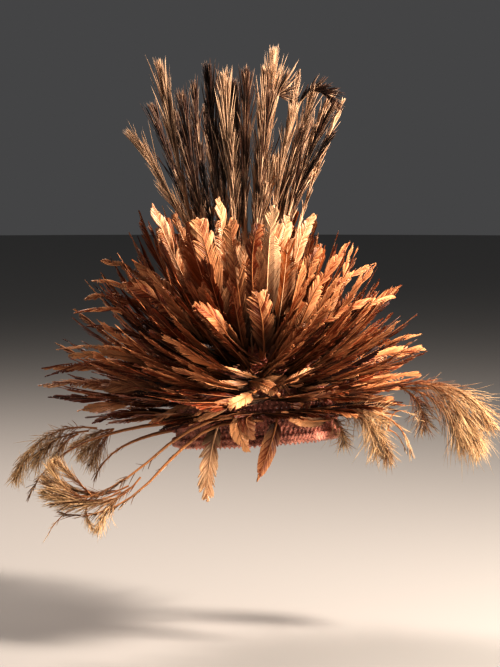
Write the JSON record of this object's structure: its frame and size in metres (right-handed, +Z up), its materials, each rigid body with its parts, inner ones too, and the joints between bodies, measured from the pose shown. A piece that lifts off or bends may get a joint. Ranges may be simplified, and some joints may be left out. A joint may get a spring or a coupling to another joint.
{
  "type": "feathered headdress",
  "caption": "Ceremonial headdress: a hollow knotted cord cap bound with tiers of rust-brown feathers, a crown of tall dark plumes and drooping side plumes.",
  "frame": {"origin": "the top of the head, where it touches the inside of the cap's crown; the headdress is held up by the head", "axes": "+Z up; the front of the headdress faces -Y; +X is the wearer's left"},
  "size_m": [0.4201, 0.4195, 0.4616],
  "materials": {
    "knotted_cord": "matte knotted plant-fibre cord",
    "rust_feather": "silky barbed vane, rust brown",
    "light_feather": "silky barbed vane, light rust and gold",
    "dark_plume": "loose downy barbs, dark brown over a tan stem"
  },
  "bodies": {
    "root": {"cap": "knotted_cord", "rim_band": "knotted_cord", "tier_1_brim": "rust_feather", "tier_2": "rust_feather", "tier_3": "rust_feather", "tier_4": "rust_feather", "tier_5": "rust_feather", "tier_6": "rust_feather", "tier_7": "rust_feather", "tier_8_crown": "light_feather", "tier_9_crown": "light_feather", "top_plumes": "dark_plume", "side_plume_1": "dark_plume", "side_plume_2": "dark_plume", "side_plume_3": "dark_plume", "side_plume_4": "dark_plume", "side_plume_5": "dark_plume", "side_plume_6": "dark_plume", "ear_feather": "light_feather", "temple_feather": "light_feather", "curled_feather": "light_feather", "forehead_feather": "light_feather"}
  },
  "joints": []
}
